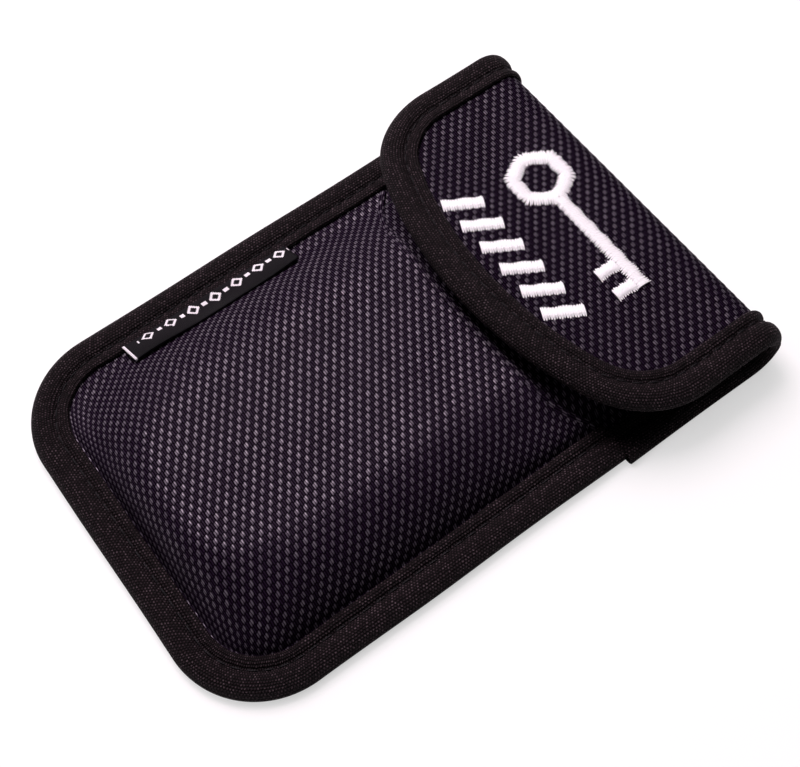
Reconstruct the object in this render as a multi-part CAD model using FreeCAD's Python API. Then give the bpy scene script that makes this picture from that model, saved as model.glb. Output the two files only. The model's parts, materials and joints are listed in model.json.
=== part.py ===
import FreeCAD, Part
import math
import os

os.makedirs("parts", exist_ok=True)
vector = FreeCAD.Vector

# A soft shielded pouch for a key, closed and lying on its back, in millimetres.
# X runs across the pouch, Y runs up to the fold, and Z stands up from the table.
# The origin is on the table, under the middle of the closed pouch.

# The whole pouch
pouch_width = 90.0
pouch_length = 134.0
corner_radius = 20.0
fold_radius = 6.6
hinge_gap = 0.3
rest_gap = 0.3
overrun = 4.0

# The layers, from the outside in
cloth = 0.5
padding = 0.5
shield = 0.25
lining = 0.25
ply_gap = 0.06

# The edge tape, folded round every raw edge and sewn through
tape = 0.7
tape_width = 8.0
tape_roll = 1.1
upper_step = 1.5
thread = 0.45
thread_height = 0.2
thread_inset = 5.6

# The back, pressed out level with the tape's underside
field_inset = 9.2
field_slope = 0.5
field_end = 11.0

# The two pockets and the swell of their walls
key_room = 4.3
front_room = 4.3
foot_gap = 0.4
front_shoulder = 24.0
divider_shoulder = 20.5
foot_corner = 11.0
corner_growth_share = 0.3
floor_margin = 1.2
foot_angle = math.radians(20.0)
swell_steps = 4

# The mouths, and where the upper tape's cut ends lap over the pocket's tape, all down from the fold
front_mouth = 39.5
lap_left = 33.0
lap_right = 39.5
scoop_depth = 8.0
scoop_margin = 8.0
scoop_floor = 40.0
scoop_belly = 0.6
hem_width = 6.0
key_mouth = 11.0
mouth_tape = 0.25
mouth_tape_width = 8.0
mouth_tape_margin = 13.5

# The flap
flap_length = 48.6
flap_arch_drop = 4.6
flap_corner = 22.0
flap_sag = 1.6
flap_station_shares = (0.0, 0.3, 0.62, 0.95, 1.3)
flap_rise_shares = (0.0, 0.04, 0.4, 1.0, 1.06)
flap_sag_shares = (0.0, 0.15, 0.5, 0.9, 1.0)

# The hook and loop closure
patch_width = 48.0
patch_height = 16.0
patch_from_fold = 20.0
patch_corner = 2.0
hook = 1.3
loop = 1.5

# The woven label in the left seam
label_length = 41.0
label_from_bottom = 26.5
label_reach = 5.0
label_thickness = 0.8
label_lean = math.radians(47.0)
label_set_in = 0.6

# The embroidery on the flap
emboss = 0.45
key_above_bars = 17.5
key_left = -12.5
bow_radius = 8.2
bow_hole = 4.4
stem_width = 3.2
stem_right = 21.0
tooth_length = 4.6
tooth_width = 3.0
tooth_step = 5.6
tooth_count = 2
bar_above_tip = 15.1
bar_height = 8.0
bar_width = 3.2
bar_step = 6.6
bar_slant = 4.0
bar_count = 6
bar_left = -20.0

# Where things lie, from the sizes above
half_width = pouch_width / 2
scoop_width = pouch_width - 2 * scoop_margin
flap_side = flap_length - flap_corner - flap_arch_drop
bottom_y = -pouch_length / 2
fold_y = pouch_length / 2
roll_y = fold_y - fold_radius
half_turn = math.pi / 2
hinge_angle = math.pi / 4
diagonal = math.cos(math.pi / 4)
gap_angle = math.asin(hinge_gap / 2 / fold_radius)
cloth_inset = tape + ply_gap

panel_z = tape + ply_gap
padding_z = panel_z + cloth + ply_gap
shield_z = padding_z + padding + ply_gap
lining_z = shield_z + shield + ply_gap
key_floor = lining_z + lining
key_ceiling = key_floor + key_room
divider_top = key_ceiling + shield + ply_gap + cloth
front_ceiling = divider_top + front_room
front_stack = lining + padding + cloth + 2 * ply_gap
crown = front_ceiling + front_stack
flap_total = lining_z + lining + ply_gap + tape

divider_flange_z = panel_z + cloth + ply_gap
front_flange_z = divider_flange_z + cloth + ply_gap
pocket_seam_top = front_flange_z + cloth + ply_gap + tape
neck_seam_top = divider_flange_z + cloth + ply_gap + tape
front_foot = tape_width + foot_gap
divider_foot = front_foot + front_stack + ply_gap
floor_inset = divider_foot + cloth + shield + ply_gap + floor_margin

front_mouth_y = fold_y - front_mouth
key_mouth_y = fold_y - key_mouth
flap_tip_y = fold_y - flap_length
flap_half = half_width + upper_step
shoulder_half = half_width - front_shoulder
flap_rise = crown + rest_gap + flap_total + flap_sag * (shoulder_half / flap_half) ** 2 - 2 * fold_radius


def line(start, end):
    return Part.LineSegment(start, end).toShape()


def arc(start, middle, end):
    return Part.Arc(start, middle, end).toShape()


def polygon(points):
    return Part.Wire([line(a, b) for a, b in zip(points, points[1:] + points[:1])])


def block(low, high):
    size = high - low
    return Part.makeBox(size.x, size.y, size.z, low)


def pouch_outline(inset, end_y, z):
    """A U drawn in from the pouch's edge by an inset, closed straight across at end_y."""
    x = half_width - inset
    y = bottom_y + inset
    growth = corner_growth_share * max(inset - tape_width, 0)
    radius = max(corner_radius - inset, foot_corner) + growth
    cut = radius * (1 - diagonal)
    left_top = vector(-x, end_y, z)
    left_low = vector(-x, y + radius, z)
    low_left = vector(-x + radius, y, z)
    low_right = vector(x - radius, y, z)
    right_low = vector(x, y + radius, z)
    right_top = vector(x, end_y, z)
    return Part.Wire([
        line(left_top, left_low),
        arc(left_low, vector(-x + cut, y + cut, z), low_left),
        line(low_left, low_right),
        arc(low_right, vector(x - cut, y + cut, z), right_low),
        line(right_low, right_top),
        line(right_top, left_top),
    ])


def plate(inset, end_y, low, thickness):
    return Part.Face(pouch_outline(inset, end_y, low)).extrude(vector(0, 0, thickness))


def swell(foot, shoulder, base, top, end_y):
    """A blown-up pocket, steep at its seam and level at its shoulder, open in section at end_y."""
    wires = []
    for step in range(swell_steps + 1):
        angle = foot_angle + (half_turn - foot_angle) * step / swell_steps
        in_share = (math.cos(foot_angle) - math.cos(angle)) / math.cos(foot_angle)
        up_share = (math.sin(angle) - math.sin(foot_angle)) / (1 - math.sin(foot_angle))
        inset = foot + (shoulder - foot) * in_share
        wires.append(pouch_outline(inset, end_y, base + (top - base) * up_share))
    return Part.makeLoft(wires, True)


def front_solid(depth, end_y):
    return swell(front_foot + depth, front_shoulder, front_flange_z, crown - depth, end_y)


def divider_solid(depth, end_y):
    return swell(divider_foot + depth, divider_shoulder, divider_flange_z, divider_top - depth, end_y)


def scoop(drop):
    """What the front pocket's mouth cuts away, lowered by a drop."""
    floor_y = front_mouth_y - scoop_depth - drop
    floor_x = scoop_floor / 2
    side_x = scoop_width / 2 + drop
    reach = side_x - floor_x
    rise = front_mouth_y - floor_y
    radius = (reach * reach + rise * rise) / (2 * rise)
    turn = math.asin(min(reach / radius, 1.0)) / 2
    bend_x = floor_x + radius * math.sin(turn)
    bend_y = floor_y + radius * (1 - math.cos(turn))
    low = front_flange_z
    outline = Part.Wire([
        arc(vector(-side_x, front_mouth_y, low), vector(-bend_x, bend_y, low), vector(-floor_x, floor_y, low)),
        arc(vector(-floor_x, floor_y, low), vector(0, floor_y - scoop_belly, low), vector(floor_x, floor_y, low)),
        arc(vector(floor_x, floor_y, low), vector(bend_x, bend_y, low), vector(side_x, front_mouth_y, low)),
        line(vector(side_x, front_mouth_y, low), vector(side_x, fold_y, low)),
        line(vector(side_x, fold_y, low), vector(-side_x, fold_y, low)),
        line(vector(-side_x, fold_y, low), vector(-side_x, front_mouth_y, low)),
    ])
    return Part.Face(outline).extrude(vector(0, 0, crown + overrun))


def loop_point(x, radius, angle):
    """A point on the fold's roll. The angle is 0 at the fold's outermost line and grows upwards."""
    return vector(x, roll_y + radius * math.cos(angle), fold_radius + radius * math.sin(angle))


def roll(depth, thickness, left, right, start, stop):
    """A stretch of the fold's roll, a depth in from its outer face."""
    outer = fold_radius - depth
    inner = outer - thickness
    middle = (start + stop) / 2
    outline = Part.Wire([
        arc(loop_point(left, outer, start), loop_point(left, outer, middle), loop_point(left, outer, stop)),
        line(loop_point(left, outer, stop), loop_point(left, inner, stop)),
        arc(loop_point(left, inner, stop), loop_point(left, inner, middle), loop_point(left, inner, start)),
        line(loop_point(left, inner, start), loop_point(left, outer, start)),
    ])
    return Part.Face(outline).extrude(vector(right - left, 0, 0))


def back_sheet(low, thickness, inset):
    """A flat layer of the back that turns up into the roll."""
    flat = plate(inset, roll_y, low, thickness)
    x = half_width - inset
    return flat.fuse(roll(low, thickness, -x, x, -half_turn, -hinge_angle - gap_angle)).removeSplitter()


def make_back_panel():
    end_y = fold_y - field_end
    top = panel_z + cloth
    rise = Part.makeLoft([pouch_outline(field_inset, end_y, 0), pouch_outline(field_inset - field_slope,
                         end_y + field_slope, panel_z)], True, True)
    pressed = rise.fuse(plate(field_inset - field_slope, end_y + field_slope, panel_z, cloth))
    inner_inset = field_inset + field_slope
    hollow = Part.makeLoft([pouch_outline(inner_inset, end_y - field_slope, cloth),
                            pouch_outline(inner_inset - field_slope, end_y, top)], True, True)
    return back_sheet(panel_z, cloth, cloth_inset).fuse(pressed).cut(hollow).removeSplitter()


def make_front_panel():
    outside = front_solid(0, front_mouth_y)
    flange = plate(cloth_inset, front_mouth_y, front_flange_z, cloth)
    return outside.fuse(flange).cut(front_solid(cloth, front_mouth_y + overrun)).cut(scoop(0)).removeSplitter()


def front_layer(depth, thickness):
    outside = front_solid(depth, front_mouth_y)
    return outside.cut(front_solid(depth + thickness, front_mouth_y + overrun)).cut(scoop(0))


def make_front_padding():
    return front_layer(cloth + ply_gap, padding).cut(scoop(hem_width + ply_gap))


def make_mouth_hem():
    return front_layer(cloth + ply_gap, padding).common(scoop(hem_width))


def make_front_lining():
    return front_layer(cloth + padding + 2 * ply_gap, lining)


def make_divider_panel():
    outside = divider_solid(0, key_mouth_y)
    flange = plate(cloth_inset, key_mouth_y, divider_flange_z, cloth)
    return outside.fuse(flange).cut(divider_solid(cloth, key_mouth_y + overrun)).removeSplitter()


def make_divider_shield():
    depth = cloth + ply_gap
    end_y = key_mouth_y - mouth_tape_width - ply_gap
    return divider_solid(depth, end_y).cut(divider_solid(depth + shield, end_y + overrun))


def make_divider_binding():
    """A thin tape folded over the upper edge of the divider."""
    over = ply_gap + mouth_tape
    under = cloth + ply_gap + mouth_tape
    end_y = key_mouth_y + over
    legs = divider_solid(-over, end_y).cut(divider_solid(under, end_y + overrun))
    slot = divider_solid(-ply_gap, key_mouth_y + ply_gap).cut(divider_solid(cloth + ply_gap, end_y + overrun))
    x = half_width - mouth_tape_margin
    strip = block(vector(-x, key_mouth_y - mouth_tape_width, 0), vector(x, fold_y, crown))
    return legs.cut(slot).common(strip)


def seam_profile(y, edge, side, cloth_edge, top):
    """The section of a folded edge tape: a rounded outer edge and a slot for the layers it holds."""
    inner = edge - tape_width
    roll_x = edge - tape_roll
    points = [
        (inner, 0), (roll_x, 0), (edge, top / 2), (roll_x, top), (inner, top),
        (inner, top - tape), (cloth_edge, top - tape), (cloth_edge, tape), (inner, tape),
    ]
    a, b, c, d, e, f, g, h, i = [vector(side * x, y, z) for x, z in points]
    return Part.Face(Part.Wire([
        line(a, b), arc(b, c, d), line(d, e), line(e, f), line(f, g), line(g, h), line(h, i), line(i, a),
    ]))


def make_pocket_binding():
    left_y = fold_y - lap_left
    profile = seam_profile(left_y, half_width, -1, half_width - tape, pocket_seam_top)
    left = pouch_outline(0, left_y, 0).Edges
    right = pouch_outline(0, fold_y - lap_right, 0).Edges
    path = Part.Wire(left[:3] + right[3:5])
    return path.makePipeShell([profile.OuterWire], True, False)


def make_neck_binding(side, lap):
    start = fold_y - lap + ply_gap
    profile = seam_profile(start, flap_half, side, half_width - tape, neck_seam_top)
    flat = profile.extrude(vector(0, roll_y - start, 0))
    end = seam_profile(roll_y, flap_half, side, half_width - tape, neck_seam_top)
    turn = math.degrees(half_turn - hinge_angle - gap_angle)
    bend = end.revolve(vector(0, roll_y, fold_radius), vector(1, 0, 0), turn)
    return flat.fuse(bend).removeSplitter()


def make_fold_binding(side):
    profile = seam_profile(roll_y, flap_half, side, flap_half - tape, flap_total)
    centre = vector(0, roll_y, fold_radius)
    along = vector(1, 0, 0)
    first = math.degrees(half_turn - hinge_angle + gap_angle)
    span = math.degrees(2 * (hinge_angle - gap_angle))
    return profile.rotated(centre, along, first).revolve(centre, along, span)


def fold_sheet(depth, thickness):
    x = flap_half - cloth_inset
    return roll(depth, thickness, -x, x, -hinge_angle + gap_angle, hinge_angle - gap_angle)


def flap_outline(inset):
    """Straight sides, round corners and a shallow arch at the tip, each drawn in by an inset."""
    x = flap_half - inset
    tip = flap_tip_y + inset
    corner_y = fold_y - flap_side
    corner_x = flap_half - flap_corner
    reach = flap_tip_y + flap_corner
    arch_y = (reach ** 2 - corner_y ** 2 - corner_x ** 2) / (2 * (reach - corner_y))
    corner = flap_corner - inset
    arch = arch_y - flap_tip_y - inset
    join_angle = math.atan2(corner_x, arch_y - corner_y)
    join_x = arch * math.sin(join_angle)
    join_y = arch_y - arch * math.cos(join_angle)
    mid_angle = (half_turn + join_angle) / 2
    mid_x = corner_x + corner * math.sin(mid_angle)
    mid_y = corner_y - corner * math.cos(mid_angle)
    return Part.Wire([
        line(vector(-x, roll_y, 0), vector(-x, corner_y, 0)),
        arc(vector(-x, corner_y, 0), vector(-mid_x, mid_y, 0), vector(-join_x, join_y, 0)),
        arc(vector(-join_x, join_y, 0), vector(0, tip, 0), vector(join_x, join_y, 0)),
        arc(vector(join_x, join_y, 0), vector(mid_x, mid_y, 0), vector(x, corner_y, 0)),
        line(vector(x, corner_y, 0), vector(x, roll_y, 0)),
        line(vector(x, roll_y, 0), vector(-x, roll_y, 0)),
    ])


def flap_section(station, rise_share, sag_share, depth, thickness):
    """A cross-section of the flap: a strip that bows upwards towards the tip."""
    x = flap_half + overrun
    y = roll_y - station * (roll_y - flap_tip_y)
    top = 2 * fold_radius + flap_rise * rise_share - depth
    low = top - thickness
    drop = flap_sag * sag_share * (x / flap_half) ** 2
    left_top = vector(-x, y, top - drop)
    right_top = vector(x, y, top - drop)
    left_low = vector(-x, y, low - drop)
    right_low = vector(x, y, low - drop)
    upper = line(left_top, right_top)
    lower = line(right_low, left_low)
    if drop > 0:
        upper = arc(left_top, vector(0, y, top), right_top)
        lower = arc(right_low, vector(0, y, low), left_low)
    return Part.Wire([upper, line(right_top, right_low), lower, line(left_low, left_top)])


def flap_blank(depth, thickness):
    stations = zip(flap_station_shares, flap_rise_shares, flap_sag_shares)
    return Part.makeLoft([flap_section(*station, depth, thickness) for station in stations], True)


def flap_layer(depth, thickness, inset, early=0):
    """A layer of the flap with its share of the roll, which may start a little early."""
    prism = Part.Face(flap_outline(inset)).extrude(vector(0, 0, 2 * crown + overrun))
    sheet = flap_blank(depth, thickness).common(prism)
    x = flap_half - inset
    start = hinge_angle + gap_angle - early
    return sheet.fuse(roll(depth, thickness, -x, x, start, half_turn)).removeSplitter()


def make_flap_binding():
    early = 2 * gap_angle
    window = flap_layer(-tape, flap_total + 2 * tape, tape_width, early)
    slot = flap_layer(tape, flap_total - 2 * tape, tape, early)
    return flap_layer(0, flap_total, 0).cut(window).cut(slot)


def rounded_patch(low, high):
    """A rectangle in plan with rounded corners."""
    sheet = block(low, high)
    upright = [e for e in sheet.Edges if abs(e.tangentAt(e.FirstParameter).z) > diagonal]
    return sheet.makeFillet(patch_corner, upright)


def patch_box(low_z, high_z):
    top_y = fold_y - patch_from_fold
    x = patch_width / 2
    return rounded_patch(vector(-x, top_y - patch_height, low_z), vector(x, top_y, high_z))


def make_hook_patch():
    depth = lining_z + lining + ply_gap
    return flap_blank(depth, hook).common(patch_box(0, 2 * crown))


def make_loop_patch():
    low = divider_top + ply_gap
    return patch_box(low, low + loop)


def make_label():
    """A folded ribbon that stands out of the seam and leans on the pocket's flank."""
    half = label_thickness / 2
    start_x = -half_width + tape_width - label_set_in
    start = vector(start_x, bottom_y + label_from_bottom, pocket_seam_top + rest_gap + half)
    straight = label_reach - half
    points = [(0, -half), (straight, -half), (label_reach, 0), (straight, half), (0, half)]
    a, b, c, d, e = [start + vector(x, 0, z) for x, z in points]
    crease = half * (1 - diagonal)
    low = start + vector(label_reach - crease, 0, -half * diagonal)
    high = start + vector(label_reach - crease, 0, half * diagonal)
    outline = Part.Wire([line(a, b), arc(b, low, c), arc(c, high, d), line(d, e), line(e, a)])
    ribbon = Part.Face(outline).extrude(vector(0, label_length, 0))
    return ribbon.rotated(start, vector(0, -1, 0), math.degrees(label_lean))


def make_pocket_stitching():
    low = pocket_seam_top + ply_gap
    outside = plate(thread_inset, front_mouth_y, low, thread_height)
    return outside.cut(plate(thread_inset + thread, front_mouth_y + overrun, low, thread_height))


def make_flap_stitching():
    depth = -ply_gap - thread_height
    outside = flap_layer(depth, thread_height, thread_inset)
    return outside.cut(flap_layer(depth, thread_height, thread_inset + thread, 2 * gap_angle))


def key_figure():
    """A plain key with a six-sided bow, lying across the flap."""
    y = flap_tip_y + bar_above_tip + key_above_bars
    ring = [polygon([vector(key_left + radius * math.cos(k * math.pi / 3), y + radius * math.sin(k * math.pi / 3), 0)
                     for k in range(6)]) for radius in (bow_radius, bow_hole)]
    figure = Part.Face(ring[0]).cut(Part.Face(ring[1]))
    half = stem_width / 2
    stem_left = key_left + (bow_radius + bow_hole) / 2
    stem = Part.Face(polygon([vector(stem_left, y - half, 0), vector(stem_right, y - half, 0),
                              vector(stem_right, y + half, 0), vector(stem_left, y + half, 0)]))
    figure = figure.fuse(stem)
    for k in range(tooth_count):
        right = stem_right - k * tooth_step
        tooth = Part.Face(polygon([vector(right - tooth_width, y - half - tooth_length, 0),
                                   vector(right, y - half - tooth_length, 0),
                                   vector(right, y, 0), vector(right - tooth_width, y, 0)]))
        figure = figure.fuse(tooth)
    return figure.removeSplitter().extrude(vector(0, 0, 2 * crown))


def slanted_bar(k):
    y = flap_tip_y + bar_above_tip
    x = bar_left + k * bar_step
    outline = polygon([vector(x, y - bar_height / 2, 0), vector(x + bar_width, y - bar_height / 2, 0),
                       vector(x + bar_width + bar_slant, y + bar_height / 2, 0),
                       vector(x + bar_slant, y + bar_height / 2, 0)])
    return Part.Face(outline).extrude(vector(0, 0, 2 * crown))


def make_embroidery():
    sheet = flap_blank(panel_z - ply_gap - emboss, emboss)
    figures = [key_figure()] + [slanted_bar(k) for k in range(bar_count)]
    return Part.makeCompound([solid for figure in figures for solid in sheet.common(figure).Solids])


def make_nodes():
    flap_inset = cloth_inset
    return {
        "back_panel": make_back_panel(),
        "back_padding": back_sheet(padding_z, padding, floor_inset),
        "back_shield": back_sheet(shield_z, shield, floor_inset),
        "back_lining": back_sheet(lining_z, lining, floor_inset),
        "divider_shield": make_divider_shield(),
        "divider_panel": make_divider_panel(),
        "divider_binding": make_divider_binding(),
        "front_lining": make_front_lining(),
        "front_padding": make_front_padding(),
        "mouth_hem": make_mouth_hem(),
        "front_panel": make_front_panel(),
        "pocket_binding": make_pocket_binding(),
        "pocket_stitching": make_pocket_stitching(),
        "neck_binding_left": make_neck_binding(-1, lap_left),
        "neck_binding_right": make_neck_binding(1, lap_right),
        "loop_patch": make_loop_patch(),
        "side_label": make_label(),
        "fold_panel": fold_sheet(panel_z, cloth),
        "fold_padding": fold_sheet(padding_z, padding),
        "fold_shield": fold_sheet(shield_z, shield),
        "fold_lining": fold_sheet(lining_z, lining),
        "fold_binding_left": make_fold_binding(-1),
        "fold_binding_right": make_fold_binding(1),
        "flap_panel": flap_layer(panel_z, cloth, flap_inset),
        "flap_padding": flap_layer(padding_z, padding, flap_inset),
        "flap_shield": flap_layer(shield_z, shield, flap_inset),
        "flap_lining": flap_layer(lining_z, lining, flap_inset),
        "flap_binding": make_flap_binding(),
        "flap_stitching": make_flap_stitching(),
        "hook_patch": make_hook_patch(),
        "embroidery": make_embroidery(),
    }


for name, shape in make_nodes().items():
    shape.exportStep("parts/" + name + ".step")
    box = shape.BoundBox
    print(f"{name}: {len(shape.Solids)} solid, volume {shape.Volume:.1f}, valid {shape.isValid()},"
          f" x {box.XMin:.2f} {box.XMax:.2f}, y {box.YMin:.2f} {box.YMax:.2f}, z {box.ZMin:.2f} {box.ZMax:.2f}")
print(f"crown {crown:.2f}, key floor {key_floor:.2f}, key ceiling {key_ceiling:.2f},"
      f" divider top {divider_top:.2f}, front ceiling {front_ceiling:.2f}")
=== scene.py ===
import bpy
import json
from functools import partial
from math import atan2, cos, pi, radians, sin
import numpy as np
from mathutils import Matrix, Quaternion, Vector


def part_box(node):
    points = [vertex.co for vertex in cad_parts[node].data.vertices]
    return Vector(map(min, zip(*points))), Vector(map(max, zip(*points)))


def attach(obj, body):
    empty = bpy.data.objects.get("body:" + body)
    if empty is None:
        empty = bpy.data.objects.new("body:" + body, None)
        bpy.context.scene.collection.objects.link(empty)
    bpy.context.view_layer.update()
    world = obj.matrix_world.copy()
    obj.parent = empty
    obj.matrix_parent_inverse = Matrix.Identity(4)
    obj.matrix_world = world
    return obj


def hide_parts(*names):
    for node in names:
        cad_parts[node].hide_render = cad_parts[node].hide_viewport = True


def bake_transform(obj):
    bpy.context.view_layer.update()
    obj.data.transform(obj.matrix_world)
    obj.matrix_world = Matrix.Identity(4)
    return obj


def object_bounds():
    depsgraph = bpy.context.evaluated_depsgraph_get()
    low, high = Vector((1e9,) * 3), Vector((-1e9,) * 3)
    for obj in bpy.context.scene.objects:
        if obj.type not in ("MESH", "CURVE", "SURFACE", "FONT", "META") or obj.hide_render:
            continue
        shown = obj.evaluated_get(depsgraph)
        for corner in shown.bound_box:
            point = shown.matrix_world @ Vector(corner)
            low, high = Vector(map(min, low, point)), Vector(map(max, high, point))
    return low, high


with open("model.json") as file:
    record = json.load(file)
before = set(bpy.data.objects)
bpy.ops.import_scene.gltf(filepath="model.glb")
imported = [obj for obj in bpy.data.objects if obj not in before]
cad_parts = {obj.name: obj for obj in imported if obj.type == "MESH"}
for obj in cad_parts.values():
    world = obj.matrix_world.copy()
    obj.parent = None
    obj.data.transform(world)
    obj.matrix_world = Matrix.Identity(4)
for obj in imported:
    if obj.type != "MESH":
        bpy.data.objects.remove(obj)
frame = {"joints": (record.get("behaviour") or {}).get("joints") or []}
cadBox = [list(corner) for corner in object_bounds()]
scene = bpy.context.scene
mm = 0.001


def nodeBox(node):
    return [np.array(corner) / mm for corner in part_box(node)]


# the pouch's own sizes in millimetres, read from the frame where a solid's box has them
tapeLow, tapeHigh = nodeBox("pocket_binding")
frontLow, frontHigh = nodeBox("front_panel")
pouch = {
    "halfWidth": round(tapeHigh[0], 1),
    "bottomY": round(tapeLow[1], 1),
    "foldY": round(cadBox[1][1] / mm, 1),
    "mouthY": round(frontHigh[1], 1),  # upper edge of the front pocket
    "keyMouthY": round(nodeBox("divider_panel")[1][1], 1),  # upper edge of the wall behind it
    "crown": round(frontHigh[2], 2),
    "flangeTop": round(frontLow[2] + 0.5, 2),  # the flat seam that the edge tape closes on
    "foldRadius": 6.6,
    "corner": 20.0,
    "footCorner": 11.0,  # corner radius at the foot of the swell
    "cornerGrowth": 0.3,
}
pouch["rollY"] = pouch["foldY"] - pouch["foldRadius"]
rollLength = pouch["foldRadius"] * pi / 2


def stacked(*parts):
    # joins coordinates, each an array of its own, into points
    return np.stack(parts, -1)


def smooth(value, low, high):
    share = np.clip((value - low) / (high - low), 0, 1)
    return share * share * (3 - 2 * share)


def wander(x, y, size, seed):
    # slow unevenness from -1 to 1, out of four crossed waves
    total = np.zeros(np.broadcast(x, y).shape)
    for k in range(4):
        turn = 0.7 + 1.9 * k + seed
        reach = size * (0.75 + 0.31 * k)
        across = x * cos(turn) + y * sin(turn)
        total = total + np.sin(across * 2 * pi / reach + 1.7 * seed + 2.4 * k)
    return total / 4


def runLength(points):
    # length walked along a line of points, from its start
    return np.concatenate([[0], np.cumsum(np.linalg.norm(np.diff(points, axis=0), axis=1))])


def sideWays(path, side):
    # unit vectors square to a flat path, to its left for a side of 1 and to its right for -1
    ahead = np.gradient(path, axis=0)
    ahead /= np.linalg.norm(ahead, axis=1)[:, None]
    return stacked(-ahead[:, 1], ahead[:, 0]) * side


# Mesh making


halfTurn = np.linspace(pi / 2, -pi / 2, 9)  # round the edge of a folded strip


def addMesh(name, points, faces, maps=None, shade=True):
    mesh = bpy.data.meshes.new(name)
    faces = faces.tolist() if isinstance(faces, np.ndarray) else faces
    mesh.from_pydata((np.asarray(points, float) * mm).tolist(), [], faces)
    corners = np.zeros(len(mesh.loops), int)
    mesh.loops.foreach_get("vertex_index", corners)
    for mapName, values in (maps or {}).items():
        layer = mesh.uv_layers.new(name=mapName)
        layer.uv.foreach_set("vector", np.asarray(values, float)[corners].astype(np.float32).ravel())
    mesh.polygons.foreach_set("use_smooth", np.full(len(mesh.polygons), shade))
    mesh.update()
    piece = bpy.data.objects.new(name, mesh)
    scene.collection.objects.link(piece)
    return piece


def gridFaces(rows, columns, keep=None, closed=False):
    # quads of a grid of points in row order; closed joins the last column to the first
    i, j = np.meshgrid(np.arange(rows - 1), np.arange(columns if closed else columns - 1), indexing="ij")
    here, ahead = i * columns + j, i * columns + (j + 1) % columns
    quads = stacked(here, ahead, ahead + columns, here + columns).reshape(-1, 4)
    return quads if keep is None else quads[keep.ravel()[quads].all(1)]


def dropLoose(points, faces, *maps):
    used = np.unique(faces)
    place = np.full(len(points), -1)
    place[used] = np.arange(len(used))
    return points[used], place[faces], [values[used] for values in maps]


def closeSheet(faces, top, low):
    # joins an upper and a lower skin along their open rim into one closed sheet
    count = len(top)
    edges = np.concatenate([faces[:, [k, (k + 1) % 4]] for k in range(4)])
    keyed = np.sort(edges, 1)
    _, first, counts = np.unique(keyed[:, 0] * count + keyed[:, 1], return_index=True, return_counts=True)
    rim = edges[first[counts == 1]]
    walls = stacked(rim[:, 1], rim[:, 0], rim[:, 0] + count, rim[:, 1] + count)
    return np.concatenate([faces, faces[:, ::-1] + count, walls]), np.concatenate([top, low])


def addFoldedStrip(name, rings, length, outer, flip=False):
    # a strip whose every ring runs out along one face and back along the other, closed at both ends
    rows, columns = rings.shape[:2]
    faces = gridFaces(rows, columns, None, True)
    faces = (faces[:, ::-1] if flip else faces).tolist()
    for row, turned in ((0, flip), (rows - 1, not flip)):
        base = row * columns
        for j in range(columns // 2 - 1):
            quad = [base + j, base + j + 1, base + columns - 2 - j, base + columns - 1 - j]
            faces.append(quad if turned else quad[::-1])
    around = runLength(np.array(outer))
    across = np.concatenate([around, around[::-1]])
    cloth = stacked(np.repeat(length, columns), np.tile(across, rows))
    return addMesh(name, rings.reshape(-1, 3), faces, {"clothMap": cloth})


def foldedLine(along, end, out, middle, half, turn):
    # out along a line, round its end and back on its other side
    return ([(at, middle - half) for at in along]
            + [(end + out * cos(a), middle - half * sin(a)) for a in turn]
            + [(at, middle + half) for at in along[::-1]])


def finishPiece(piece, body, slotName, nodes, bend=None, material=None):
    piece.data.materials.append(material or finishes[slotName])
    if bend:
        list(bend["bodies"])
        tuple(bend["start"])
        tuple(bend["end"])
        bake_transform(piece)
    else:
        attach(piece, body)
    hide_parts(*nodes)
    return piece


def declareSheet(piece, grid, keep):
    # lengths of the grid's steps across and along its surface, where both ends are kept; nothing is done with
    # them
    rows = np.linalg.norm(np.diff(grid, axis=1), axis=-1) * (keep[:, 1:] & keep[:, :-1])
    columns = np.linalg.norm(np.diff(grid, axis=0), axis=-1) * (keep[1:] & keep[:-1])


def makeCloth(name, grid, keep, maps, body, nodes, bend=None, material=None, turned=False):
    # one skin of the outer cloth, out of a grid of points and which of them to keep
    faces = gridFaces(*keep.shape, keep)
    points, faces, kept = dropLoose(grid.reshape(-1, 3), faces[:, ::-1] if turned else faces, *maps.values())
    piece = addMesh(name, points, faces, dict(zip(maps, kept)))
    finishPiece(piece, body, "ballistic_nylon", nodes, bend, material)
    declareSheet(piece, grid, keep)


# two heights on the fold above the table, and again as far below the top, carried with each piece of cloth
# that crosses the fold
bendFrom, bendTo = 1.34, 5.3
foldTop = 2 * pouch["foldRadius"]


def bendBetween(bodies, *places):
    # each place is how far it lies past the roll's start, and its height
    start, end = [(0, (pouch["rollY"] + out) * mm, height * mm) for out, height in places]
    return {"bodies": bodies, "start": start, "end": end}


lowerBend = bendBetween(("pouch", "fold"), (bendFrom, bendFrom), (bendTo, bendTo))
upperBend = bendBetween(("fold", "flap"), (bendTo, foldTop - bendTo), (bendFrom, foldTop - bendFrom))


# Materials


def fromHex(code):
    parts = [int(code[i:i + 2], 16) / 255 for i in (0, 2, 4)]
    return [c / 12.92 if c <= 0.04045 else ((c + 0.055) / 1.055) ** 2.4 for c in parts] + [1.0]


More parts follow.
